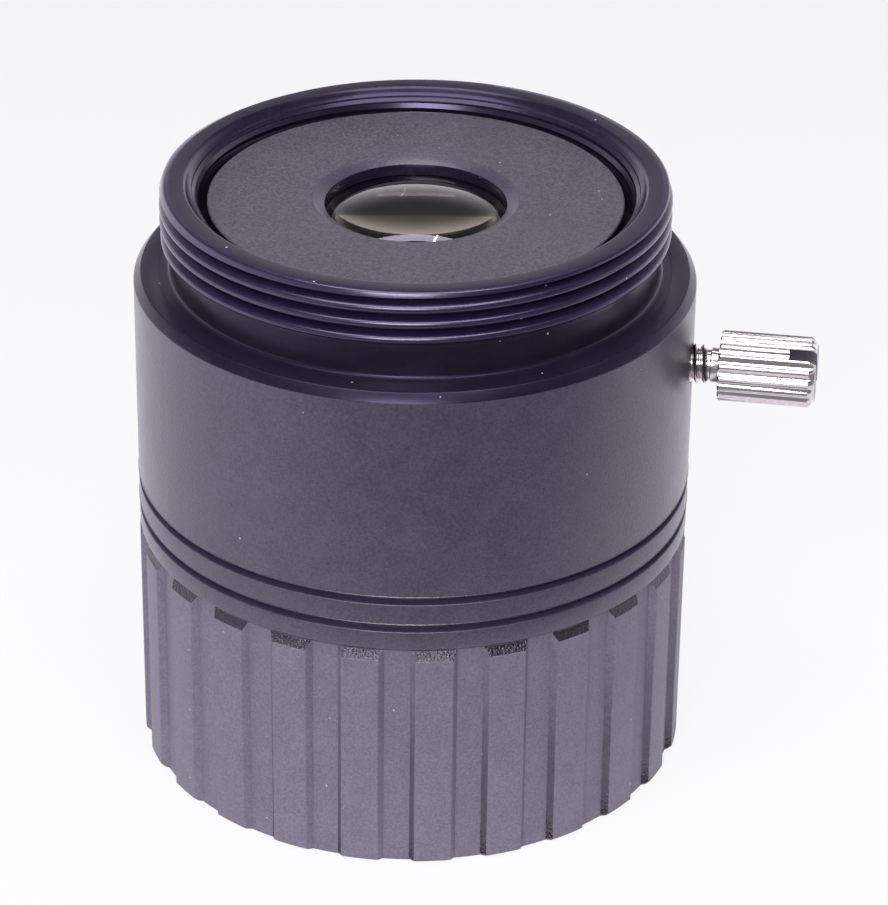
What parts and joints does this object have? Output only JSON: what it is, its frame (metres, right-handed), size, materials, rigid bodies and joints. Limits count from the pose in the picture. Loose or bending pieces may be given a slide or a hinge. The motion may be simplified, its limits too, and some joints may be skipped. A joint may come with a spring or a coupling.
{
  "type": "cctv lens",
  "caption": "Black anodised fixed-focal surveillance camera lens with a rear screw mount, a ribbed focusing ring and a knurled focus lock screw, standing on its front rim.",
  "frame": {"origin": "on the optical axis, in the plane of the mounting flange", "axes": "+Z along the optical axis towards the camera, +X along the focus lock screw"},
  "size_m": [0.0342, 0.028, 0.031],
  "materials": {
    "satin_black_anodised": "bead blasted, black anodised",
    "gloss_black_anodised": "turned, black anodised",
    "nickel_plate": "nickel plated",
    "stainless_steel": "ground",
    "coated_glass": "polished, anti-reflection coated",
    "blackened_sheet": "matte black",
    "black_rubber": "matte",
    "black_acetal": "matte",
    "white_nylon": "matte"
  },
  "bodies": {
    "barrel": {"mount_barrel": "satin_black_anodised", "guide_pin": "stainless_steel", "thrust_washer": "black_acetal", "ring_lock_nut": "gloss_black_anodised"},
    "focusing_ring": {"focus_ring": "satin_black_anodised", "stop_pin": "stainless_steel"},
    "optics": {"lens_cell": "satin_black_anodised", "rear_element": "coated_glass", "rear_spacer": "gloss_black_anodised", "doublet_crown": "coated_glass", "doublet_flint": "coated_glass", "doublet_spacer": "gloss_black_anodised", "aperture_stop": "blackened_sheet", "second_element": "coated_glass", "front_spacer": "gloss_black_anodised", "front_element": "coated_glass", "front_seal": "black_rubber", "front_retaining_ring": "gloss_black_anodised"},
    "pad": {"lock_pad": "white_nylon"},
    "lock_screw": {"thumbscrew": "nickel_plate"}
  },
  "joints": [
    {"name": "focus_turn", "type": "hinge", "parent": "barrel", "child": "focusing_ring", "pos_m": [0, 0, -0.0126], "axis": [0, 0, 1], "range_deg": [0, 300]},
    {"name": "cell_slide", "type": "slide", "parent": "barrel", "child": "optics", "axis": [0, 0, -1], "range_m": [0, 0.00125]},
    {"name": "pad_slide", "type": "slide", "parent": "barrel", "child": "pad", "axis": [1, 0, 0], "range_m": [0, 0.001]},
    {"name": "screw_turn", "type": "hinge", "parent": "pad", "child": "lock_screw", "pos_m": [0.0164, 0, -0.00428], "axis": [1, 0, 0], "range_deg": [0, 900]}
  ],
  "couplings": [
    {"joint": "focus_turn", "follows": "cell_slide", "rad_per_m": 4188.8},
    {"joint": "screw_turn", "follows": "pad_slide", "rad_per_m": 15708}
  ]
}
